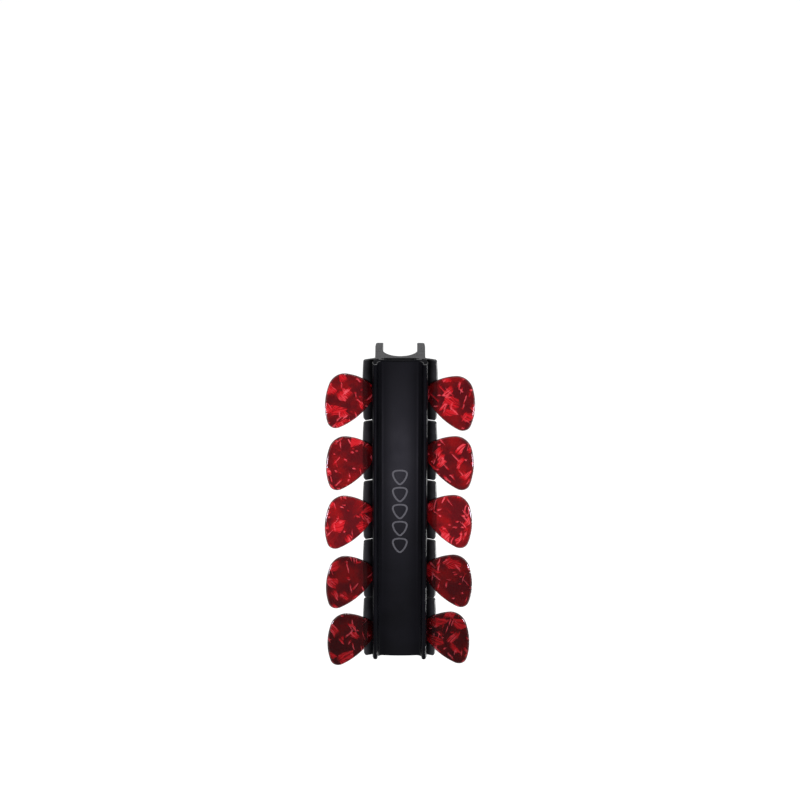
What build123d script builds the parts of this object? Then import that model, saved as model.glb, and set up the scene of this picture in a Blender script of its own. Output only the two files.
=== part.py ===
from build123d import *
from math import acos, asin, atan2, cos, hypot, pi, radians, sin, sqrt
import os

# Clip-on pick holder for a microphone-stand tube, in millimetres.
# The origin is on the axis of the gripped tube at half the holder's length.
# +Z runs up the tube, -Y is the front, and side = 1 is the +X half, -1 the -X half.

# ---- driving dimensions ----
holder_length = 170.0
fingers_per_side = 5
# How far each slit between two fingers stands open, from the top slit down.
slit_widths = (1.1, 1.2, 1.1, 0.75)

bore_radius = 9.1
body_half_width = 12.8
web_thickness = 2.4
armpit_fillet = 1.2

jaw_root_y = -3.5
jaw_tip_y = 8.2
jaw_taper_y = 3.8
jaw_taper = 0.4
jaw_lip = 0.4
jaw_lip_height = 1.3
jaw_lip_ramp = 1.6
jaw_rounds = (3.0, 1.1, 0.6, 0.6, 1.0)

cover_half_width = 14.3
cover_draft = 0.4
cover_back_y = -13.9
cover_edge_y = -15.25
cover_crown = 0.45
cover_corner_radius = 3.0
ridge_width = 2.3
ridge_tip_y = -19.85
ridge_fillet = 2.6
cover_end_round = 0.35

rail_inner_x = 7.0
rail_outer_x = 8.1
rail_hook_x = 9.5
rail_back_y = -12.1
rail_hook_y = -12.95
rail_clearance = 0.08

finger_sweep = 21.0
finger_thickness = 1.7
finger_root = 1.0
finger_tip_x = 19.05
finger_bulge = 0.6
finger_corner = 1.0
finger_edge_round = 0.5

pick_width = 26.6
pick_height = 30.0
pick_thickness = 0.96
pick_tip_radius = 5.4
pick_shoulder_radius = 7.8
pick_side_radius = 32.0
pick_top_radius = 32.0
pick_edge_round = 0.28
pick_clearance = 0.04
slot_floor_x = 11.0

emblem_count = 5
emblem_pitch = 9.8
emblem_width = 8.2
emblem_height = 8.8
emblem_tip_radius = 1.5
emblem_shoulder_radius = 2.3
emblem_side_radius = 9.5
emblem_stroke = 0.9
emblem_thickness = 0.12

# How each pick happens to be seated: reach of its middle along the slot from the
# cover's corner, drop of its middle below the finger's, and outward lean of its tip.
left_seats = ((16.4, 4.2, 29), (16.1, 5.3, 27), (17.0, 5.0, 29), (16.6, 5.9, 29), (16.0, 5.6, 27))
right_seats = ((16.3, 5.3, 24), (16.0, 5.0, 24), (15.4, 4.5, 24), (15.8, 5.0, 26), (14.7, 4.7, 28))

# Slack within which two coordinates count as the same when edges are picked out.
tolerance = 0.01

# ---- worked-out dimensions ----
finger_pitch = holder_length / fingers_per_side
root_x = sqrt(bore_radius**2 - jaw_root_y**2)
web_front_y = -bore_radius - web_thickness
ridge_outer_x = cover_half_width - cover_draft
ridge_inner_x = ridge_outer_x - ridge_width
face_half_width = ridge_inner_x - ridge_fillet
corner_x = cover_half_width - cover_corner_radius
corner_y = cover_back_y - cover_corner_radius
sweep_cos = cos(radians(finger_sweep))
sweep_sin = sin(radians(finger_sweep))

# Distances behind the cover's corner centre, square to the swept slot.
pick_middle = cover_corner_radius + pick_clearance + pick_thickness / 2
finger_front = cover_corner_radius + pick_thickness + 2 * pick_clearance
finger_back = finger_front + finger_thickness
finger_middle = finger_front + finger_thickness / 2
finger_reach = (finger_tip_x - corner_x - finger_middle * sweep_sin) / sweep_cos


def swept(reach, depth, side=1):
    """Point at a reach along the swept slot and a depth behind the cover's corner centre."""
    x = corner_x + reach * sweep_cos + depth * sweep_sin
    y = corner_y - reach * sweep_sin + depth * sweep_cos
    return (side * x, y)


def swept_at_x(x, depth):
    """Point of the swept line at this depth that has this x, on the +X side."""
    reach = (x - corner_x - depth * sweep_sin) / sweep_cos
    return swept(reach, depth)


def flipped(points):
    """The same points on the other side of the middle plane, in reverse order."""
    return [(-x, y) for x, y in reversed(points)]


def on_circle(centre, radius, angle, side=1):
    """Point of a circle at an angle in radians, on either side of the middle plane."""
    return (side * (centre[0] + radius * cos(angle)), centre[1] + radius * sin(angle))


def save(piece, name):
    piece.part.label = name
    export_step(piece.part, f"parts/{name}.step")


# ---- core: front half of the bore, the web, the cover's grooves and the finger roots ----
def make_clamp_core():
    groove_x = rail_hook_x + rail_clearance
    lip_x = rail_outer_x + rail_clearance
    groove_back_y = rail_back_y + rail_clearance
    groove_front_y = rail_hook_y - rail_clearance
    shoulder_y = cover_back_y + rail_clearance
    front_half = [
        (lip_x, web_front_y),
        (lip_x, groove_back_y),
        (groove_x, groove_back_y),
        (groove_x, groove_front_y),
        (lip_x, groove_front_y),
        (lip_x, shoulder_y),
        (slot_floor_x, shoulder_y),
        swept_at_x(slot_floor_x, finger_front),
        swept(finger_root, finger_front),
        swept(finger_root, finger_back),
        swept_at_x(body_half_width, finger_back),
        (body_half_width, jaw_root_y),
        (root_x, jaw_root_y),
    ]
    with BuildPart() as core:
        with BuildSketch(Plane.XY.offset(-holder_length / 2)) as section:
            with BuildLine():
                Polyline(*front_half)
                Polyline(*flipped(front_half))
                Line(front_half[0], flipped(front_half)[-1])
                ThreePointArc(front_half[-1], (0, -bore_radius), flipped(front_half)[0])
            make_face()
            armpits = section.vertices().filter_by(
                lambda v: abs(abs(v.X) - body_half_width) < tolerance and v.Y < jaw_root_y - tolerance
            )
            fillet(armpits, radius=armpit_fillet)
        extrude(amount=holder_length)
    save(core, "clamp_core")


# ---- jaws: the two springy arms that close round the back of the tube ----
def make_jaw(side, name):
    half_turn = asin(jaw_root_y / bore_radius) / 2
    arc_middle = (side * bore_radius * cos(half_turn), bore_radius * sin(half_turn))
    lip_end_y = jaw_tip_y - jaw_lip_height
    outline = [
        (body_half_width, jaw_root_y),
        (body_half_width, jaw_taper_y),
        (body_half_width - jaw_taper, jaw_tip_y),
        (bore_radius - jaw_lip, jaw_tip_y),
        (bore_radius - jaw_lip, lip_end_y),
        (bore_radius, lip_end_y - jaw_lip_ramp),
        (bore_radius, 0),
    ]
    with BuildPart() as jaw:
        with BuildSketch(Plane.XY.offset(-holder_length / 2)):
            with BuildLine():
                FilletPolyline(*[(side * x, y) for x, y in outline], radius=list(jaw_rounds))
                ThreePointArc((side * bore_radius, 0), arc_middle, (side * root_x, jaw_root_y))
                Line((side * root_x, jaw_root_y), (side * body_half_width, jaw_root_y))
            make_face()
        extrude(amount=holder_length)
    save(jaw, name)


# ---- front cover: crowned channel with a ridge down each side and two hooked rails behind ----
def make_front_cover():
    tip_radius = ridge_width / 2
    ridge_middle_x = ridge_outer_x - tip_radius
    tip_centre_y = ridge_tip_y + tip_radius
    tip = (ridge_middle_x, tip_centre_y)
    fillet_end_y = cover_edge_y - ridge_fillet
    hollow = (face_half_width, fillet_end_y)
    corner = (corner_x, corner_y)
    # The outer wall leans in towards the ridge, tangent to both the corner and the ridge tip.
    run = (ridge_middle_x - corner_x, corner_y - tip_centre_y)
    wall_angle = acos((cover_corner_radius - tip_radius) / hypot(*run)) - atan2(run[1], run[0])
    rail = [
        (corner_x, cover_back_y),
        (rail_outer_x, cover_back_y),
        (rail_outer_x, rail_hook_y),
        (rail_hook_x, rail_hook_y),
        (rail_hook_x, rail_back_y),
        (rail_inner_x, rail_back_y),
        (rail_inner_x, cover_back_y),
    ]
    with BuildPart() as cover:
        with BuildSketch(Plane.XY.offset(-holder_length / 2)):
            with BuildLine():
                ThreePointArc(
                    (-face_half_width, cover_edge_y),
                    (0, cover_edge_y - cover_crown),
                    (face_half_width, cover_edge_y),
                )
                Polyline(*rail, *flipped(rail))
                for side in (1, -1):
                    ThreePointArc(
                        (side * face_half_width, cover_edge_y),
                        on_circle(hollow, ridge_fillet, pi / 4, side),
                        (side * ridge_inner_x, fillet_end_y),
                    )
                    Line((side * ridge_inner_x, fillet_end_y), (side * ridge_inner_x, tip_centre_y))
                    ThreePointArc(
                        (side * ridge_inner_x, tip_centre_y),
                        (side * ridge_middle_x, ridge_tip_y),
                        on_circle(tip, tip_radius, wall_angle, side),
                    )
                    Line(
                        on_circle(tip, tip_radius, wall_angle, side),
                        on_circle(corner, cover_corner_radius, wall_angle, side),
                    )
                    ThreePointArc(
                        on_circle(corner, cover_corner_radius, wall_angle, side),
                        on_circle(corner, cover_corner_radius, (wall_angle + pi / 2) / 2, side),
                        (side * corner_x, cover_back_y),
                    )
            make_face()
        extrude(amount=holder_length)
        ends = cover.faces().filter_by(Axis.Z)
        rounded = ends.edges().filter_by(lambda e: e.center().Y < cover_back_y - tolerance)
        fillet(rounded, radius=cover_end_round)
    save(cover, "front_cover")


# ---- outlines shared by the picks and the emblem ----
def unit(vector):
    return vector / vector.length


def arc_about(centre, radius, start, end):
    """Short arc of a circle from start to end."""
    middle = centre + unit((start + end) / 2 - centre) * radius
    return ThreePointArc(start, middle, end)


def draw_pick_outline(width, height, tip, shoulder, flank, crown):
    """Rounded triangle of tangent arcs, tip down, centred on half its height."""
    tip_centre = Vector(0, tip - height / 2)
    crown_centre = Vector(0, height / 2 - crown)
    shoulder_x = width / 2 - shoulder
    shoulder_y = crown_centre.Y + sqrt((crown - shoulder) ** 2 - shoulder_x**2)
    for side in (1, -1):
        corner = Vector(side * shoulder_x, shoulder_y)
        across = corner - tip_centre
        span = across.length
        along = ((flank - tip) ** 2 - (flank - shoulder) ** 2 + span**2) / (2 * span)
        aside = sqrt((flank - tip) ** 2 - along**2)
        square = Vector(-across.Y, across.X) / span * side
        flank_centre = tip_centre + unit(across) * along + square * aside
        tip_end = flank_centre + unit(tip_centre - flank_centre) * flank
        flank_end = flank_centre + unit(corner - flank_centre) * flank
        crown_end = crown_centre + unit(corner - crown_centre) * crown
        bottom = Vector(0, -height / 2)
        top = Vector(0, height / 2)
        arc_about(tip_centre, tip, bottom, tip_end)
        arc_about(flank_centre, flank, tip_end, flank_end)
        arc_about(corner, shoulder, flank_end, crown_end)
        arc_about(crown_centre, crown, crown_end, top)


# ---- emblem: a plain column of pick-shaped rings lying on the crowned face ----
def make_front_emblem():
    face_radius = (face_half_width**2 + cover_crown**2) / (2 * cover_crown)
    face_y = cover_edge_y - cover_crown
    column = emblem_pitch * emblem_count
    cutter_reach = 2.0
    with BuildSketch() as ring:
        with BuildLine():
            draw_pick_outline(
                emblem_width,
                emblem_height,
                emblem_tip_radius,
                emblem_shoulder_radius,
                emblem_side_radius,
                emblem_side_radius,
            )
        make_face()
        offset(amount=-emblem_stroke, mode=Mode.SUBTRACT)
    with BuildPart() as emblem:
        with BuildSketch(Plane.XY.offset(-column / 2)):
            with Locations((0, face_y + face_radius)):
                Circle(face_radius + emblem_thickness)
                Circle(face_radius, mode=Mode.SUBTRACT)
        extrude(amount=column)
        with BuildSketch(Plane.XZ.offset(-face_y - cutter_reach)):
            with GridLocations(0, emblem_pitch, 1, emblem_count):
                add(ring.sketch)
        extrude(amount=2 * cutter_reach, mode=Mode.INTERSECT)
    save(emblem, "front_emblem")


def slot_plane(side, reach, depth, z, lean=0):
    """Plane lying along the swept slot: x outward, y up, both turned by the lean."""
    outward = Vector(side * sweep_cos, -sweep_sin)
    upward = Vector(0, 0, 1)
    turned = outward * cos(radians(lean)) + upward * sin(radians(lean))
    origin = Vector(*swept(reach, depth, side), z)
    return Plane(origin=origin, x_dir=turned, z_dir=outward.cross(upward))


# ---- fingers: swept flaps behind the cover's edges, parted by slits ----
def make_finger(side, number, name):
    gaps = (0, *slit_widths, 0)
    cell_top = holder_length / 2 - (number - 1) * finger_pitch
    cell_bottom = cell_top - finger_pitch
    top = cell_top - gaps[number - 1] / 2
    bottom = cell_bottom + gaps[number] / 2
    half_height = (top - bottom) / 2
    flap_plane = slot_plane(side, 0, finger_middle, (top + bottom) / 2)
    shoulder_reach = finger_reach - finger_bulge
    round_from = shoulder_reach - finger_corner - tolerance
    with BuildPart() as finger:
        with BuildSketch(flap_plane) as flap:
            with BuildLine():
                Polyline(
                    (shoulder_reach, half_height),
                    (finger_root, half_height),
                    (finger_root, -half_height),
                    (shoulder_reach, -half_height),
                )
                ThreePointArc(
                    (shoulder_reach, -half_height), (finger_reach, 0), (shoulder_reach, half_height)
                )
            make_face()
            corners = flap.vertices().filter_by(
                lambda v: flap_plane.to_local_coords(v).X > round_from
            )
            fillet(corners, radius=finger_corner)
        extrude(amount=finger_thickness / 2, both=True)
        flat_sides = finger.faces().filter_by(flap_plane)
        outer_edges = flat_sides.edges().filter_by(
            lambda e: flap_plane.to_local_coords(e.center()).X > round_from
        )
        fillet(outer_edges, radius=finger_edge_round)
    save(finger, name)


# ---- picks: flat rounded triangles, one shoulder in the slot between finger and cover ----
def make_pick(side, number, seat, name):
    reach, drop, lean = seat
    finger_centre = holder_length / 2 - (number - 0.5) * finger_pitch
    with BuildPart() as pick:
        with BuildSketch(slot_plane(side, reach, pick_middle, finger_centre - drop, lean)):
            with BuildLine():
                draw_pick_outline(
                    pick_width,
                    pick_height,
                    pick_tip_radius,
                    pick_shoulder_radius,
                    pick_side_radius,
                    pick_top_radius,
                )
            make_face()
        extrude(amount=pick_thickness / 2, both=True)
        rims = pick.edges().filter_by(lambda e: e.length > 2 * pick_thickness)
        fillet(rims, radius=pick_edge_round)
    save(pick, name)


os.makedirs("parts", exist_ok=True)
make_clamp_core()
make_jaw(-1, "left_jaw")
make_jaw(1, "right_jaw")
make_front_cover()
make_front_emblem()
for number in range(1, fingers_per_side + 1):
    make_finger(-1, number, f"finger_left_{number}")
    make_finger(1, number, f"finger_right_{number}")
    make_pick(-1, number, left_seats[number - 1], f"pick_left_{number}")
    make_pick(1, number, right_seats[number - 1], f"pick_right_{number}")
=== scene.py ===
import bmesh
import bpy
import math
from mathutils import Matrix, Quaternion, Vector


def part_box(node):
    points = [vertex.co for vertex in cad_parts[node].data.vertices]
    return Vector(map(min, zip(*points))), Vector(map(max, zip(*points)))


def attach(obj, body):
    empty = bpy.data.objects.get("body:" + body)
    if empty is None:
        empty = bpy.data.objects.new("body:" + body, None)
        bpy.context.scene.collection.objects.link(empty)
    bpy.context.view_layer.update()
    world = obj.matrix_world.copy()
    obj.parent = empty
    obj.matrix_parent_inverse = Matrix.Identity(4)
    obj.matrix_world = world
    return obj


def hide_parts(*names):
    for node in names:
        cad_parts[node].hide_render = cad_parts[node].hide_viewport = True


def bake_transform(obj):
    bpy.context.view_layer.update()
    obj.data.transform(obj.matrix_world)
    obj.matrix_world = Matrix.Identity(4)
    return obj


# Clip-on pick holder: black rubber body, satin front cover and ten pearl celluloid picks.
# Metres, +Z up the tube, -Y is the front. side is 1 on the +X half and -1 on the -X half.

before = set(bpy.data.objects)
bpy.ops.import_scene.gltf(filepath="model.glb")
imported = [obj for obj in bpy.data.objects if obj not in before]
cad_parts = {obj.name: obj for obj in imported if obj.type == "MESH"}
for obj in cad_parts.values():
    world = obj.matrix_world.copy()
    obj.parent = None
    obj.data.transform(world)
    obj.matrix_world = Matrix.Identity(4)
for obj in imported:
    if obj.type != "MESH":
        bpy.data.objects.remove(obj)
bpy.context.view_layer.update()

MM = 0.001

# ---- sizes that the CAD model also has ----
BORE_RADIUS = 9.1 * MM
BODY_HALF_WIDTH = 12.8 * MM
WEB_FRONT_Y = -11.5 * MM
ARMPIT_FILLET = 1.2 * MM
JAW_ROOT_Y = -3.5 * MM
JAW_TIP_Y = 8.2 * MM
JAW_TAPER_Y = 3.8 * MM
JAW_TAPER = 0.4 * MM
JAW_LIP = 0.4 * MM
JAW_LIP_END_Y = 6.9 * MM
JAW_LIP_RAMP = 1.6 * MM
COVER_HALF_WIDTH = 14.3 * MM
COVER_DRAFT = 0.4 * MM
COVER_BACK_Y = -13.9 * MM
COVER_EDGE_Y = -15.25 * MM
COVER_CROWN = 0.45 * MM
CORNER_RADIUS = 3.0 * MM
RIDGE_WIDTH = 2.3 * MM
RIDGE_TIP_Y = -19.85 * MM
RIDGE_FILLET = 2.6 * MM
RAIL_INNER_X = 7.0 * MM
RAIL_OUTER_X = 8.1 * MM
RAIL_HOOK_X = 9.5 * MM
RAIL_BACK_Y = -12.1 * MM
RAIL_HOOK_Y = -12.95 * MM
RAIL_CLEARANCE = 0.08 * MM
SWEEP = math.radians(21.0)
FINGER_THICKNESS = 1.7 * MM
FINGER_ROOT = 1.0 * MM
FINGER_TIP_X = 19.05 * MM
FINGER_BULGE = 0.6 * MM
FINGER_CORNER = 1.0 * MM
FINGER_ROUND = 0.5 * MM
SLOT_FLOOR_X = 11.0 * MM
# The slits between the fingers, from the top one down.
SLIT_WIDTHS = (1.1 * MM, 1.2 * MM, 1.1 * MM, 0.75 * MM)
PICK_WIDTH = 26.6 * MM
PICK_HEIGHT = 30.0 * MM
PICK_THICKNESS = 0.96 * MM
PICK_TIP = 5.4 * MM
PICK_SHOULDER = 7.8 * MM
PICK_FLANK = 32.0 * MM
PICK_CROWN = 32.0 * MM
PICK_CLEARANCE = 0.04 * MM
# How each pick is seated: its middle's reach along the slot and drop below the finger's middle,
# in millimetres, and the outward lean of its tip in degrees.
LEFT_SEATS = ((16.4, 4.2, 29), (16.1, 5.3, 27), (17.0, 5.0, 29), (16.6, 5.9, 29), (16.0, 5.6, 27))
RIGHT_SEATS = ((16.3, 5.3, 24), (16.0, 5.0, 24), (15.4, 4.5, 24), (15.8, 5.0, 26), (14.7, 4.7, 28))

# ---- sizes that only the looks have ----
# Rounds of the body's sawn ends, of the cover's ends and of the ends of its rails.
SAWN_ROUND = 0.12 * MM
END_ROUND = 0.6 * MM
RAIL_END_ROUND = 0.03 * MM
# Depth in front of the cover's back over which its end round grows to its full size.
ROUND_FADE = 1.2 * MM
# Reach at which a finger's front is no longer darkened, and the stretch over which that fades.
SHADE_END = 5.8 * MM
SHADE_FADE = 3.4 * MM
# Share of the rounding that a finger's top and bottom edges get.
SLIT_EDGE_SHARE = 0.35
# Width of a pick's polished rim, and how thick its very edge is beside its middle.
RIM_WIDTH = 0.95 * MM
RIM_EDGE = 0.15
# Size of each ring on a pick's flat face beside the ring around it.
INNER_RINGS = (0.7, 0.57)
# Painted shade on each row's picks, darker toward the bottom where the light falls off, from the top row
# down.
PICK_ROW_SHADES = (0.8, 0.85, 1.0, 0.42, 0.21)
# How far apart the picks lie on their shared pattern, in millimetres.
MAP_ROW_STEP = 60
MAP_SIDE_STEP = 300

# ---- straight steps in each curve ----
SMALL_STEPS = 5
BORE_STEPS = 48
JAW_BORE_STEPS = 10
JAW_BEND_STEPS = 8
CROWN_STEPS = 10
CORNER_STEPS = 12
RIDGE_TIP_STEPS = 14
RAIL_STEPS = 2
FINGER_CORNER_STEPS = 6
FINGER_EDGE_STEPS = 10
FINGER_COLUMNS = 14
PICK_STEPS = 14
RIM_STEPS = 6

# ---- worked out from the frame and the sizes above ----
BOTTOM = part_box("clamp_core")[0].z
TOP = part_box("clamp_core")[1].z
ROWS = len(LEFT_SEATS)
PITCH = (TOP - BOTTOM) / ROWS
CORNER_X = COVER_HALF_WIDTH - CORNER_RADIUS
CORNER_Y = COVER_BACK_Y - CORNER_RADIUS
PICK_DEPTH = CORNER_RADIUS + PICK_CLEARANCE + PICK_THICKNESS / 2
FINGER_FRONT = CORNER_RADIUS + PICK_THICKNESS + 2 * PICK_CLEARANCE
FINGER_BACK = FINGER_FRONT + FINGER_THICKNESS
FINGER_MIDDLE = FINGER_FRONT + FINGER_THICKNESS / 2
FINGER_REACH = (FINGER_TIP_X - CORNER_X - FINGER_MIDDLE * math.sin(SWEEP)) / math.cos(SWEEP)
ROOT_X = math.sqrt(BORE_RADIUS**2 - JAW_ROOT_Y**2)


# ---- outlines ----
def swept(reach, depth):
    """Point at a reach along the swept slot and a depth behind the cover's corner centre."""
    x = CORNER_X + reach * math.cos(SWEEP) + depth * math.sin(SWEEP)
    y = CORNER_Y - reach * math.sin(SWEEP) + depth * math.cos(SWEEP)
    return x, y


def swept_at_x(x, depth):
    """Point of the swept line at this depth that has this x."""
    reach = (x - CORNER_X - depth * math.sin(SWEEP)) / math.cos(SWEEP)
    return swept(reach, depth)


def arc(cx, cy, radius, start, end, steps):
    """Points of an arc from start to end, in degrees."""
    points = []
    for i in range(steps + 1):
        angle = math.radians(start + (end - start) * i / steps)
        points.append((cx + radius * math.cos(angle), cy + radius * math.sin(angle)))
    return points


def rounded(corners, steps=SMALL_STEPS):
    """Open outline through (x, y, radius) corners, each turned by a tangent arc of its radius."""
    points = []
    last = len(corners) - 1
    for i, (x, y, radius) in enumerate(corners):
        if radius == 0 or i in (0, last):
            points.append((x, y))
            continue
        here = Vector((x, y))
        back = (Vector(corners[i - 1][:2]) - here).normalized()
        ahead = (Vector(corners[i + 1][:2]) - here).normalized()
        half = math.acos(max(-1.0, min(1.0, back.dot(ahead)))) / 2
        centre = here + (back + ahead).normalized() * (radius / math.sin(half))
        first = here + back * (radius / math.tan(half)) - centre
        final = here + ahead * (radius / math.tan(half)) - centre
        turn = math.atan2(first.x * final.y - first.y * final.x, first.dot(final))
        for k in range(steps + 1):
            angle = turn * k / steps
            spoke_x = first.x * math.cos(angle) - first.y * math.sin(angle)
            spoke_y = first.x * math.sin(angle) + first.y * math.cos(angle)
            points.append((centre.x + spoke_x, centre.y + spoke_y))
    return points


def flipped(points):
    """The same points on the other side of the middle plane, in reverse order."""
    return [(-x, y) for x, y in reversed(points)]


def outward_normals(outline):
    """Outward direction at each point of a closed outline that runs anticlockwise."""
    normals = []
    for i in range(len(outline)):
        ahead = Vector(outline[(i + 1) % len(outline)]) - Vector(outline[i - 1])
        normals.append(Vector((ahead.y, -ahead.x)).normalized())
    return normals


# ---- meshes ----
def add_band(bm, first, second):
    """Closed band of faces between two rings that have as many points."""
    for i in range(len(first)):
        j = (i + 1) % len(first)
        bm.faces.new((first[i], first[j], second[j], second[i]))


def finished(name, bm, bevel=0.0, sharp_angle=38.0):
    """Object from a bmesh. Edges with a bevel weight are rounded, and the result is plain mesh."""
    bmesh.ops.recalc_face_normals(bm, faces=bm.faces)
    mesh = bpy.data.meshes.new(name)
    bm.to_mesh(mesh)
    bm.free()
    obj = bpy.data.objects.new(name, mesh)
    bpy.context.scene.collection.objects.link(obj)
    for polygon in mesh.polygons:
        polygon.use_smooth = True
    mesh.set_sharp_from_angle(angle=math.radians(sharp_angle))
    if bevel:
        rounding = obj.modifiers.new("rounding", "BEVEL")
        rounding.width = bevel
        rounding.segments = 3
        rounding.limit_method = "WEIGHT"
        rounding.harden_normals = True
        rounding.use_clamp_overlap = True
        evaluated = obj.evaluated_get(bpy.context.evaluated_depsgraph_get())
        obj.data = bpy.data.meshes.new_from_object(evaluated)
        obj.modifiers.clear()
        obj.data.name = name
    return obj


def extrusion(name, outline):
    """Prism of a closed outline from end to end of the holder, with its sawn rims rounded."""
    bm = bmesh.new()
    weight = bm.edges.layers.float.new("bevel_weight_edge")
    rings = [[bm.verts.new((x, y, z)) for x, y in outline] for z in (BOTTOM, TOP)]
    add_band(bm, *rings)
    for ring in rings:
        cap = bm.faces.new(ring)
        for edge in cap.edges:
            edge[weight] = 1.0
    return finished(name, bm, SAWN_ROUND)


def soft_ended(name, outline, radii):
    """Prism whose two ends turn in through a quarter circle, of its own radius at each point."""
    normals = outward_normals(outline)
    quarter = []
    for k in range(SMALL_STEPS + 1):
        turn = math.radians(90 * k / SMALL_STEPS)
        quarter.append((1 - math.sin(turn), 1 - math.cos(turn)))
    levels = [(BOTTOM, 1, inset, rise) for inset, rise in quarter]
    levels += [(TOP, -1, inset, rise) for inset, rise in reversed(quarter)]
    bm = bmesh.new()
    rings = []
    for end, up, inset, rise in levels:
        ring = []
        for point, normal, radius in zip(outline, normals, radii):
            p = Vector(point) - normal * (inset * radius)
            ring.append(bm.verts.new((p.x, p.y, end + up * rise * radius)))
        rings.append(ring)
    for lower, upper in zip(rings, rings[1:]):
        add_band(bm, lower, upper)
    bm.faces.new(rings[0])
    bm.faces.new(rings[-1])
    return finished(name, bm, sharp_angle=50.0)


def core_outline():
    """Section of the body: bore behind, cover grooves in front, finger roots at the sides."""
    groove_x = RAIL_HOOK_X + RAIL_CLEARANCE
    lip_x = RAIL_OUTER_X + RAIL_CLEARANCE
    shoulder_y = COVER_BACK_Y + RAIL_CLEARANCE
    groove_back_y = RAIL_BACK_Y + RAIL_CLEARANCE
    groove_front_y = RAIL_HOOK_Y - RAIL_CLEARANCE
    half = [
        (0.0, WEB_FRONT_Y, 0),
        (lip_x, WEB_FRONT_Y, 0.3 * MM),
        (lip_x, groove_back_y, 0),
        (groove_x, groove_back_y, 0.15 * MM),
        (groove_x, groove_front_y, 0.15 * MM),
        (lip_x, groove_front_y, 0.12 * MM),
        (lip_x, shoulder_y, 0.2 * MM),
        (SLOT_FLOOR_X, shoulder_y, 0.2 * MM),
        (*swept_at_x(SLOT_FLOOR_X, FINGER_FRONT), 0.3 * MM),
        (*swept(FINGER_ROOT, FINGER_FRONT), 0),
        (*swept(FINGER_ROOT, FINGER_BACK), 0),
        (*swept_at_x(BODY_HALF_WIDTH, FINGER_BACK), ARMPIT_FILLET),
        (BODY_HALF_WIDTH, JAW_ROOT_Y, 0),
        (ROOT_X, JAW_ROOT_Y, 0),
    ]
    right = rounded(half)
    start = math.degrees(math.atan2(JAW_ROOT_Y, ROOT_X))
    bore = arc(0, 0, BORE_RADIUS, start, -180 - start, BORE_STEPS)[1:-1]
    return right + bore + flipped(right)[:-1]


def jaw_outline(side):
    """Section of a jaw, with extra points on its outer wall where it bends at its root."""
    outer = [(BODY_HALF_WIDTH, JAW_ROOT_Y * (1 - i / JAW_BEND_STEPS)) for i in range(JAW_BEND_STEPS)]
    tip = rounded(
        [
            (BODY_HALF_WIDTH, 0, 0),
            (BODY_HALF_WIDTH, JAW_TAPER_Y, 3.0 * MM),
            (BODY_HALF_WIDTH - JAW_TAPER, JAW_TIP_Y, 1.1 * MM),
            (BORE_RADIUS - JAW_LIP, JAW_TIP_Y, 0.6 * MM),
            (BORE_RADIUS - JAW_LIP, JAW_LIP_END_Y, 0.6 * MM),
            (BORE_RADIUS, JAW_LIP_END_Y - JAW_LIP_RAMP, 1.0 * MM),
            (BORE_RADIUS, 0, 0),
        ]
    )
    start = math.degrees(math.atan2(JAW_ROOT_Y, ROOT_X))
    inner = arc(0, 0, BORE_RADIUS, 0, start, JAW_BORE_STEPS)[1:]
    points = outer + tip + inner
    return points if side > 0 else flipped(points)


def cover_outline():
    """Section of the cover: crowned face, a ridge down each side and two hooked rails behind."""
    tip_radius = RIDGE_WIDTH / 2
    inner_x = COVER_HALF_WIDTH - COVER_DRAFT - RIDGE_WIDTH
    edge_x = inner_x - RIDGE_FILLET
    crown_radius = (edge_x**2 + COVER_CROWN**2) / (2 * COVER_CROWN)
    crown_centre = COVER_EDGE_Y - COVER_CROWN + crown_radius
    crown_angle = math.degrees(math.asin(edge_x / crown_radius))
    right = arc(0, crown_centre, crown_radius, -90, -90 + crown_angle, CROWN_STEPS)
    right += arc(edge_x, COVER_EDGE_Y - RIDGE_FILLET, RIDGE_FILLET, 90, 0, CORNER_STEPS)[1:]
    tip_x, tip_y = inner_x + tip_radius, RIDGE_TIP_Y + tip_radius
    run = (tip_x - CORNER_X, CORNER_Y - tip_y)
    lean = math.acos((CORNER_RADIUS - tip_radius) / math.hypot(*run)) - math.atan2(run[1], run[0])
    lean = math.degrees(lean)
    right += arc(tip_x, tip_y, tip_radius, 180, 360 + lean, RIDGE_TIP_STEPS)
    right += arc(CORNER_X, CORNER_Y, CORNER_RADIUS, lean, 90, CORNER_STEPS)
    right += rounded(
        [
            (CORNER_X, COVER_BACK_Y, 0),
            (RAIL_OUTER_X, COVER_BACK_Y, 0.1 * MM),
            (RAIL_OUTER_X, RAIL_HOOK_Y, 0.1 * MM),
            (RAIL_HOOK_X, RAIL_HOOK_Y, 0.1 * MM),
            (RAIL_HOOK_X, RAIL_BACK_Y, 0.1 * MM),
            (RAIL_INNER_X, RAIL_BACK_Y, 0.1 * MM),
            (RAIL_INNER_X, COVER_BACK_Y, 0.1 * MM),
            (0, COVER_BACK_Y, 0),
        ],
        steps=RAIL_STEPS,
    )[1:]
    return right + flipped(right)[1:-1]


def cover_end_radii(outline):
    """Radius of the cover's end round at each point: full in front, and nearly none behind."""
    radii = []
    for _, y in outline:
        share = min(1.0, max(0.0, (COVER_BACK_Y - y) / ROUND_FADE))
        radii.append(RAIL_END_ROUND + (END_ROUND - RAIL_END_ROUND) * share)
    return radii


def slot_frame(side, reach, depth, z, lean=0.0):
    """Origin and the outward, upward and backward directions of a piece lying along the slot."""
    x, y = swept(reach, depth)
    outward = Vector((side * math.cos(SWEEP), -math.sin(SWEEP), 0))
    backward = Vector((side * math.sin(SWEEP), math.cos(SWEEP), 0))
    upward = Vector((0, 0, 1))
    across = outward * math.cos(lean) + upward * math.sin(lean)
    along = upward * math.cos(lean) - outward * math.sin(lean)
    return Vector((side * x, y, z)), across, along, backward


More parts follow.
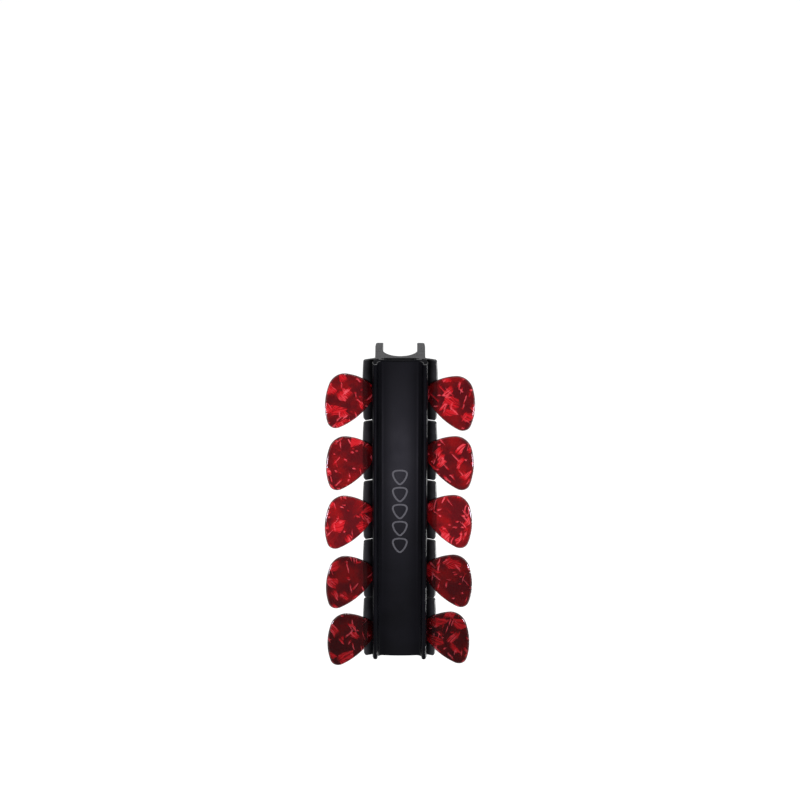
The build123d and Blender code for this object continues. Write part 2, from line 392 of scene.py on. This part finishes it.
def finger_rows(half):
    """Height and outer inset of each row of a finger, down from one rounded corner to the other."""
    rows = []
    for i in range(FINGER_CORNER_STEPS + 1):
        turn = math.radians(90 * i / FINGER_CORNER_STEPS)
        drop = FINGER_CORNER * (1 - math.cos(turn))
        rows.append((half - drop, FINGER_CORNER * (1 - math.sin(turn))))
    straight = half - FINGER_CORNER
    for i in range(1, FINGER_EDGE_STEPS + 1):
        rows.append((straight * (1 - i / FINGER_EDGE_STEPS), 0.0))
    return rows + [(-z, inset) for z, inset in reversed(rows[:-1])]


def make_finger(side, number, name):
    """Flap with a gently bowed outer edge, gridded along its reach."""
    gaps = (0, *SLIT_WIDTHS, 0)
    cell_top = TOP - (number - 1) * PITCH
    top = cell_top - gaps[number - 1] / 2
    bottom = cell_top - PITCH + gaps[number] / 2
    half = (top - bottom) / 2
    origin, across, along, backward = slot_frame(side, 0, FINGER_MIDDLE, (top + bottom) / 2)
    shoulder = FINGER_REACH - FINGER_BULGE
    bm = bmesh.new()
    weight = bm.edges.layers.float.new("bevel_weight_edge")
    shade = bm.verts.layers.float.new("shade")
    sheets = []
    for depth in (-FINGER_THICKNESS / 2, FINGER_THICKNESS / 2):
        grid = []
        for z, inset in finger_rows(half):
            bow = FINGER_BULGE * (1 - (z / half) ** 2)
            width = shoulder + bow - inset - FINGER_ROOT
            line = []
            for k in range(FINGER_COLUMNS + 1):
                reach = FINGER_ROOT + width * (k / FINGER_COLUMNS)
                vert = bm.verts.new(origin + across * reach + along * z + backward * depth)
                if depth < 0:
                    vert[shade] = min(1.0, max(0.0, (SHADE_END - reach) / SHADE_FADE))
                line.append(vert)
            grid.append(line)
        sheets.append(grid)
    for grid in sheets:
        for upper, lower in zip(grid, grid[1:]):
            for k in range(FINGER_COLUMNS):
                bm.faces.new((upper[k], upper[k + 1], lower[k + 1], lower[k]))
    rims = []
    for grid in sheets:
        rim = grid[0] + [line[-1] for line in grid[1:-1]] + grid[-1][::-1]
        rims.append(rim + [line[0] for line in reversed(grid[1:-1])])
    add_band(bm, *rims)
    outer = {line[-1] for grid in sheets for line in grid}
    ends = {vert for grid in sheets for line in (grid[0], grid[-1]) for vert in line}
    front = {vert for line in sheets[0] for vert in line}
    for edge in bm.edges:
        a, b = edge.verts
        if (a in front) != (b in front):
            continue
        if a in outer and b in outer:
            edge[weight] = 1.0
        elif a in ends and b in ends:
            edge[weight] = SLIT_EDGE_SHARE
    return finished(name, bm, FINGER_ROUND)


def bearing(centre, point):
    """Direction of a point from a centre, in degrees."""
    return math.degrees(math.atan2(point.y - centre.y, point.x - centre.x))


def pick_outline():
    """Rounded triangle of tangent arcs, tip down, centred on half its height, from its tip."""
    tip_centre = Vector((0, PICK_TIP - PICK_HEIGHT / 2))
    crown_centre = Vector((0, PICK_HEIGHT / 2 - PICK_CROWN))
    shoulder_x = PICK_WIDTH / 2 - PICK_SHOULDER
    rise = math.sqrt((PICK_CROWN - PICK_SHOULDER) ** 2 - shoulder_x**2)
    shoulder_centre = Vector((shoulder_x, crown_centre.y + rise))
    across = shoulder_centre - tip_centre
    span = across.length
    along = (PICK_FLANK - PICK_TIP) ** 2 - (PICK_FLANK - PICK_SHOULDER) ** 2 + span**2
    along /= 2 * span
    aside = math.sqrt((PICK_FLANK - PICK_TIP) ** 2 - along**2)
    square = Vector((-across.y, across.x)) / span
    flank_centre = tip_centre + across.normalized() * along + square * aside
    tip_turn = bearing(flank_centre, tip_centre)
    flank_turn = bearing(flank_centre, shoulder_centre)
    crown_turn = bearing(crown_centre, shoulder_centre)
    half = arc(*tip_centre, PICK_TIP, -90, tip_turn, PICK_STEPS)
    half += arc(*flank_centre, PICK_FLANK, tip_turn, flank_turn, PICK_STEPS)[1:]
    half += arc(*shoulder_centre, PICK_SHOULDER, flank_turn, crown_turn, PICK_STEPS)[1:]
    half += arc(*crown_centre, PICK_CROWN, crown_turn, 90, PICK_STEPS)[1:]
    return half + flipped(half)[1:-1]


def rim_profile():
    """Inset and half thickness of each ring of a pick's rim, from its flat face to its edge."""
    profile = []
    for k in range(RIM_STEPS + 1):
        turn = math.radians(90 * k / RIM_STEPS)
        share = RIM_EDGE + (1 - RIM_EDGE) * math.cos(turn)
        profile.append((RIM_WIDTH * (1 - math.sin(turn)), PICK_THICKNESS / 2 * share))
    return profile


def make_pick(side, number, seat, name):
    """Flat pick whose polished rim thins along a quarter ellipse. Its map is in millimetres."""
    reach, drop, lean = seat
    middle_z = TOP - (number - 0.5) * PITCH - drop * MM
    origin, across, along, backward = slot_frame(
        side, reach * MM, PICK_DEPTH, middle_z, math.radians(lean)
    )
    outline = pick_outline()
    normals = outward_normals(outline)
    profile = rim_profile()
    bm = bmesh.new()
    uv_layer = bm.loops.layers.uv.new("pick_map")
    rim_layer = bm.verts.layers.float.new("rim")
    # The tone attribute holds each row's painted shade.
    row_shade_layer = bm.verts.layers.float.new("tone")
    flat = {}

    def add_vert(p, depth, rim=0.0):
        """Vertex at a point of the pick's plane and a depth, which keeps that point for its map."""
        vert = bm.verts.new(origin + across * p.x + along * p.y + backward * depth)
        vert[rim_layer] = rim
        vert[row_shade_layer] = PICK_ROW_SHADES[number - 1]
        flat[vert] = p
        return vert

    rings = []
    for inset, depth in profile + [(inset, -depth) for inset, depth in reversed(profile)]:
        ring = []
        for point, normal in zip(outline, normals):
            ring.append(add_vert(Vector(point) - normal * inset, depth, 1 - inset / RIM_WIDTH))
        rings.append(ring)
    for first, second in zip(rings, rings[1:]):
        add_band(bm, first, second)
    for outer, depth in ((rings[0], PICK_THICKNESS / 2), (rings[-1], -PICK_THICKNESS / 2)):
        for scale in INNER_RINGS:
            inner = [add_vert(flat[vert] * scale, depth) for vert in outer]
            add_band(bm, outer, inner)
            outer = inner
        hub = add_vert(Vector((0, 0)), depth)
        for i, vert in enumerate(outer):
            bm.faces.new((vert, outer[(i + 1) % len(outer)], hub))
    for face in bm.faces:
        for loop in face.loops:
            p = flat[loop.vert] / MM
            loop[uv_layer].uv = (p.x + MAP_ROW_STEP * number, p.y + MAP_SIDE_STEP * side)
    return finished(name, bm, sharp_angle=60.0)


# ---- shader helpers ----
def add(tree, kind, inputs=(), **settings):
    """New node of a kind, with its inputs linked or set by name or number."""
    node = tree.nodes.new("ShaderNode" + kind)
    for key, value in settings.items():
        setattr(node, key, value)
    for key, value in dict(inputs).items():
        if isinstance(value, bpy.types.NodeSocket):
            tree.links.new(value, node.inputs[key])
        else:
            node.inputs[key].default_value = value
    return node


def calc(tree, operation, a, b=0.0):
    return add(tree, "Math", {0: a, 1: b}, operation=operation).outputs[0]


def product(tree, a, b):
    return calc(tree, "MULTIPLY", a, b)


def vector_calc(tree, operation, a, b):
    return add(tree, "VectorMath", {0: a, 1: b}, operation=operation).outputs[0]


def smooth(tree, value, low, high, out_low=0.0, out_high=1.0):
    """Value eased from one output to the other as it goes from low to high."""
    inputs = {"Value": value, "From Min": low, "From Max": high, "To Min": out_low, "To Max": out_high}
    return add(tree, "MapRange", inputs, interpolation_type="SMOOTHSTEP").outputs["Result"]


def noise(tree, vector, scale, detail=2.0, roughness=0.5):
    inputs = {"Vector": vector, "Scale": scale, "Detail": detail, "Roughness": roughness}
    return add(tree, "TexNoise", inputs).outputs["Fac"]


def stretched(tree, vector, scale):
    return add(tree, "Mapping", {"Vector": vector, "Scale": scale}, vector_type="POINT").outputs[0]


def scaled(tree, vector, scale):
    return add(tree, "VectorMath", {0: vector, "Scale": scale}, operation="SCALE").outputs[0]


def mixed(tree, factor, a, b):
    """Colour that goes from a to b as the factor goes from 0 to 1."""
    node = add(tree, "Mix", data_type="RGBA")
    for socket, value in ((0, factor), (6, a), (7, b)):
        if isinstance(value, bpy.types.NodeSocket):
            tree.links.new(value, node.inputs[socket])
        else:
            node.inputs[socket].default_value = value
    return node.outputs[2]


def bumped(tree, height, distance, strength):
    inputs = {"Height": height, "Distance": distance, "Strength": strength}
    return add(tree, "Bump", inputs).outputs[0]


def new_material(name):
    material = bpy.data.materials.new(name)
    material.use_nodes = True
    tree = material.node_tree
    return material, tree, tree.nodes["Principled BSDF"]


def connect(tree, shader, **inputs):
    """Links or sets the shader's inputs, whose names have _ for each space."""
    for key, value in inputs.items():
        socket = shader.inputs[key.replace("_", " ")]
        if isinstance(value, bpy.types.NodeSocket):
            tree.links.new(value, socket)
        else:
            socket.default_value = value


def grey(value, blue=1.0):
    """Grey of a brightness, cooler the more its blue is above 1."""
    return (value, value, value * blue, 1.0)


# ---- materials ----
def rubber_material():
    """Extruded black rubber: faint die lines up the walls, and paler speckled saw-cut ends."""
    material, tree, shader = new_material("body_rubber")
    place = add(tree, "TexCoord").outputs["Object"]
    normal = add(tree, "NewGeometry").outputs["Normal"]
    upright = calc(tree, "ABSOLUTE", add(tree, "SeparateXYZ", {0: normal}).outputs["Z"])
    cut = smooth(tree, upright, 0.55, 0.9)
    uncut = calc(tree, "SUBTRACT", 1.0, cut)
    mottle = noise(tree, place, 240.0, 3.0)
    speckle = noise(tree, place, 2600.0)
    die_lines = noise(tree, stretched(tree, place, (1.0, 1.0, 0.02)), 2200.0)
    wall = mixed(tree, smooth(tree, mottle, 0.35, 0.7), grey(0.006, 1.1), grey(0.011, 1.12))
    end = mixed(tree, smooth(tree, speckle, 0.4, 0.62), grey(0.02, 1.03), grey(0.06, 1.05))
    surface = mixed(tree, cut, wall, end)
    rough = calc(tree, "ADD", smooth(tree, mottle, 0.3, 0.7, 0.42, 0.56), product(tree, cut, 0.25))
    pits = product(tree, product(tree, speckle, 3.0), cut)
    height = calc(tree, "ADD", product(tree, die_lines, uncut), pits)
    # The fingers' fronts are dark and dull where the slot hides them from the light.
    shade = add(tree, "Attribute", attribute_name="shade").outputs["Fac"]
    connect(
        tree,
        shader,
        Base_Color=mixed(tree, product(tree, shade, 0.85), surface, grey(0.0)),
        Roughness=rough,
        Specular_IOR_Level=smooth(tree, shade, 0.0, 1.0, 0.22, 0.03),
        Normal=bumped(tree, height, 0.02 * MM, 0.6),
    )
    return material


def cover_material():
    """Satin black moulding: fine grain, faint drawn lines, and a painted sheen in its specular strength.
    """
    material, tree, shader = new_material("cover_satin")
    place = add(tree, "TexCoord").outputs["Object"]
    cloud = noise(tree, place, 60.0, 3.0)
    grain = noise(tree, place, 5200.0, 1.0)
    drawn = noise(tree, stretched(tree, place, (1.0, 1.0, 0.01)), 1500.0)
    normal = add(tree, "SeparateXYZ", {0: add(tree, "NewGeometry").outputs["Normal"]})
    upward = normal.outputs["Z"]
    sideways = calc(tree, "ABSOLUTE", normal.outputs["X"])
    aside = calc(tree, "ABSOLUTE", add(tree, "SeparateXYZ", {0: place}).outputs["X"])
    # Painted sheen, as specular strength: more in the face's middle, more on the ridges' walls, and a
    # painted highlight on the ridges' top rims only, standing in for light from above.
    face = smooth(tree, aside, 3.0 * MM, 10.0 * MM, 0.042, 0.028)
    wall_sheen = smooth(tree, sideways, 0.45, 0.8, 0.0, 0.085)
    rim = product(tree, smooth(tree, upward, 0.2, 0.45), smooth(tree, upward, 0.8, 0.95, 1.0, 0.0))
    top_rim_highlight = product(tree, smooth(tree, aside, 9.5 * MM, 11.5 * MM, 0.0, 0.75), rim)
    painted_sheen = calc(tree, "MAXIMUM", calc(tree, "MAXIMUM", face, wall_sheen), top_rim_highlight)
    # The sawn ends are matter.
    unsawn = smooth(tree, calc(tree, "ABSOLUTE", upward), 0.7, 0.98, 1.0, 0.25)
    height = calc(tree, "ADD", product(tree, grain, 0.5), product(tree, drawn, 0.5))
    connect(
        tree,
        shader,
        Base_Color=mixed(tree, smooth(tree, cloud, 0.3, 0.7), grey(0.001, 1.6), grey(0.0017, 1.6)),
        Roughness=smooth(tree, cloud, 0.3, 0.7, 0.33, 0.39),
        Specular_IOR_Level=product(tree, painted_sheen, unsawn),
        Normal=bumped(tree, height, 0.006 * MM, 0.6),
    )
    return material


def emblem_material():
    """Flat grey print, slightly patchy."""
    material, tree, shader = new_material("emblem_grey")
    place = add(tree, "TexCoord").outputs["Object"]
    patch = noise(tree, place, 900.0, 3.0)
    base = mixed(tree, smooth(tree, patch, 0.35, 0.65), grey(0.032, 1.06), grey(0.046, 1.06))
    rough = smooth(tree, patch, 0.3, 0.7, 0.36, 0.44)
    connect(tree, shader, Base_Color=base, Roughness=rough, Specular_IOR_Level=0.12)
    return material


def shards(tree, flat, turn, length, width, share, peak):
    """Pearl flakes: long cells, a share of them lit to the peak, each fading through a fan of fibres."""
    turned = add(tree, "VectorRotate", {"Vector": flat, "Angle": turn}, rotation_type="Z_AXIS").outputs[0]
    cells = stretched(tree, turned, (1 / length, 1 / width, 1.0))
    cell = add(tree, "TexVoronoi", {"Vector": cells, "Scale": 1.0}, voronoi_dimensions="2D", feature="F1")
    local = vector_calc(tree, "SUBTRACT", cells, cell.outputs["Position"])
    along, across, _ = add(tree, "SeparateXYZ", {0: local}).outputs
    chance, flip, choice = add(tree, "SeparateColor", {0: cell.outputs["Color"]}).outputs
    # Half the cells face the other way, and the fibres spread from each one's tail to its head.
    facing = calc(tree, "SUBTRACT", product(tree, calc(tree, "GREATER_THAN", flip, 0.5), 2.0), 1.0)
    head = product(tree, along, facing)
    fan = calc(tree, "DIVIDE", across, calc(tree, "ADD", head, 0.95))
    axes = {0: product(tree, head, 0.7), 1: product(tree, fan, 5.0), 2: product(tree, chance, 40.0)}
    comb = add(tree, "CombineXYZ", axes).outputs[0]
    fibre = smooth(tree, noise(tree, comb, 1.6, 3.0), 0.4, 0.56, 0.3 * peak, peak)
    fade = smooth(tree, head, -0.55, 0.1)
    lit = smooth(tree, choice, 1.0 - share, 1.02 - share)
    return product(tree, product(tree, fade, fibre), lit)


# The flakes' turn, length and width in millimetres, the share that is lit, and how brightly.
FLAKES = (
    (0.75, 10.0, 5.2, 0.17, 0.7),
    (-0.45, 7.0, 2.8, 0.11, 0.8),
    (1.2, 6.0, 0.8, 0.05, 1.0),
    (-0.9, 5.0, 0.6, 0.045, 1.0),
    (0.2, 2.2, 0.8, 0.04, 1.0),
)
BODY_DARK = (0.11, 0.004, 0.007, 1.0)
BODY_BRIGHT = (0.27, 0.005, 0.007, 1.0)
FLAKE_RED = (0.6, 0.009, 0.016)
FLAKE_PINK = (0.95, 0.15, 0.19)
# Colour of the painted shade at a pick's edge.
RIM_SHADE = (0.03, 0.002, 0.003, 1.0)


def pick_material():
    """Polished red pearl celluloid: light comes through it, brightest in flakes and slivers."""
    material, tree, shader = new_material("pick_pearl")
    flat = add(tree, "UVMap", uv_map="pick_map").outputs[0]
    # The flakes wander a little, so that none of them is quite straight.
    wander = add(tree, "TexNoise", {"Vector": flat, "Scale": 0.14, "Detail": 1.0}).outputs["Color"]
    centred = vector_calc(tree, "SUBTRACT", wander, (0.5, 0.5, 0.5))
    warped = vector_calc(tree, "ADD", flat, scaled(tree, centred, 2.2))
    level = 0.0
    for flake in FLAKES:
        level = calc(tree, "MAXIMUM", level, shards(tree, warped, *flake))
    body = mixed(tree, smooth(tree, noise(tree, flat, 0.1, 3.0), 0.4, 0.68), BODY_DARK, BODY_BRIGHT)
    # Painted shade: the lower rows' picks are darker, standing in for the light falling off toward the
    # bottom, and their flakes less so than the red between them.
    tone = add(tree, "Attribute", attribute_name="tone").outputs["Fac"]
    flake_row_shade = smooth(tree, tone, 0.2, 0.9, 0.42, 0.93)
    row_shaded_body = scaled(tree, body, tone)
    red = mixed(tree, smooth(tree, level, 0.08, 0.5), row_shaded_body, scaled(tree, FLAKE_RED, flake_row_shade))
    pink = mixed(tree, smooth(tree, level, 0.66, 0.98), red, scaled(tree, FLAKE_PINK, flake_row_shade))
    # Painted shade: the base colour darkens across the rim toward the edge, standing in for the dark
    # outline that refraction gives.
    rim = add(tree, "Attribute", attribute_name="rim").outputs["Fac"]
    connect(
        tree,
        shader,
        Base_Color=mixed(tree, smooth(tree, rim, 0.33, 0.94, 0.0, 0.8), pink, RIM_SHADE),
        IOR=1.09,
        Transmission_Weight=smooth(tree, level, 0.3, 0.95, 0.78, 0.72),
        Roughness=smooth(tree, level, 0.1, 0.9, 0.22, 0.34),
        Coat_Weight=smooth(tree, rim, 0.05, 0.76, 0.04, 1.0),
        Coat_Roughness=0.05,
        Normal=bumped(tree, level, 0.06 * MM, 0.5),
    )
    return material


def floor_material():
    """Plain pale paper."""
    material, tree, shader = new_material("floor_paper")
    place = add(tree, "TexCoord").outputs["Object"]
    tone = mixed(tree, noise(tree, place, 3.0, 3.0), grey(0.86), grey(0.9))
    connect(tree, shader, Base_Color=tone, Roughness=0.9, Specular_IOR_Level=0.1)
    return material


# ---- the object ----
rubber = rubber_material()
satin = cover_material()
pearl = pick_material()

core = extrusion("core_body", core_outline())
core.data.materials.append(rubber)
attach(core, "holder")
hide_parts("clamp_core")

for side, hand in ((-1, "left"), (1, "right")):
    jaw = extrusion(f"{hand}_jaw_arm", jaw_outline(side))
    jaw.data.materials.append(rubber)
    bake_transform(jaw)
    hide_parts(f"{hand}_jaw")

cover_section = cover_outline()
cover = soft_ended("cover_shell", cover_section, cover_end_radii(cover_section))
cover.data.materials.append(satin)
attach(cover, "holder")
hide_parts("front_cover")

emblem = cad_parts["front_emblem"]
emblem.data.materials.clear()
emblem.data.materials.append(emblem_material())

for side, hand, seats in ((-1, "left", LEFT_SEATS), (1, "right", RIGHT_SEATS)):
    for number, seat in enumerate(seats, start=1):
        finger = make_finger(side, number, f"{hand}_finger_flap_{number}")
        finger.data.materials.append(rubber)
        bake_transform(finger)
        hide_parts(f"finger_{hand}_{number}")
        pick = make_pick(side, number, seat, f"{hand}_pearl_pick_{number}")
        pick.data.materials.append(pearl)
        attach(pick, f"pick_{hand}_{number}")
        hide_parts(f"pick_{hand}_{number}")


# ---- floor, light and camera ----
FLOOR_DROP = 1.0
FLOOR_SIZE = 60.0
SKY_STRENGTH = 1.1
WHITE = (1.0, 1.0, 1.0)
# Each light's name, place, target, width, height, power in watts and colour.
LIGHTS = (
    ("face_card", (0.0, -0.35, -0.104), (0.0, -0.016, 0.045), 0.1, 0.05, 0.7, (1.0, 0.95, 1.2)),
    ("key_left", (-1.4, -1.8, 1.6), (0.0, 0.0, 0.0), 1.0, 1.0, 9.0, WHITE),
    ("key_right", (1.6, -1.2, 1.2), (0.0, 0.0, 0.0), 0.7, 1.0, 24.0, WHITE),
    ("rim_right", (0.9, 0.63, -0.53), (0.014, -0.019, 0.0), 0.25, 0.5, 8.0, WHITE),
    ("top", (0.0, 0.6, 2.2), (0.0, 0.0, 0.0), 1.2, 1.2, 20.0, WHITE),
)
# The camera looks down at a point above the holder's middle. Lens and sensor are in millimetres.
AIM_HEIGHT = 0.05635
CAMERA_PITCH = math.radians(24.0)
CAMERA_ROLL = math.radians(0.13)
CAMERA_ASIDE = -0.06 * MM
CAMERA_DISTANCE = 1.774
CAMERA_LENS = 154.5
SENSOR_WIDTH = 36.0

bpy.ops.mesh.primitive_plane_add(size=FLOOR_SIZE, location=(0, 0, BOTTOM - FLOOR_DROP))
floor = bpy.context.object
floor.name = "floor"
floor.data.materials.append(floor_material())

world = bpy.data.worlds.new("studio")
world.use_nodes = True
bpy.context.scene.world = world
sky = world.node_tree.nodes["Background"]
sky.inputs["Color"].default_value = (*WHITE, 1.0)
sky.inputs["Strength"].default_value = SKY_STRENGTH


def soft_light(name, place, target, width, height, power, colour):
    """Soft box at a place, facing a target. It shows in reflections, but not by itself."""
    data = bpy.data.lights.new(name, "AREA")
    data.shape = "RECTANGLE"
    data.size = width
    data.size_y = height
    data.energy = power
    data.color = colour
    lamp = bpy.data.objects.new(name, data)
    bpy.context.scene.collection.objects.link(lamp)
    lamp.location = place
    lamp.rotation_euler = (Vector(place) - Vector(target)).to_track_quat("Z", "Y").to_euler()
    lamp.visible_camera = False
    lamp.visible_transmission = False


for light in LIGHTS:
    soft_light(*light)

camera_data = bpy.data.cameras.new("camera")
camera_data.lens = CAMERA_LENS
camera_data.sensor_width = SENSOR_WIDTH
camera = bpy.data.objects.new("camera", camera_data)
bpy.context.scene.collection.objects.link(camera)
looking = Vector((0, math.cos(CAMERA_PITCH), -math.sin(CAMERA_PITCH)))
camera.location = Vector((CAMERA_ASIDE, 0, AIM_HEIGHT)) - looking * CAMERA_DISTANCE
aim = looking.to_track_quat("-Z", "Y") @ Quaternion((0, 0, 1), CAMERA_ROLL)
camera.rotation_euler = aim.to_euler()
bpy.context.scene.camera = camera
bpy.context.scene.view_settings.view_transform = "Standard"
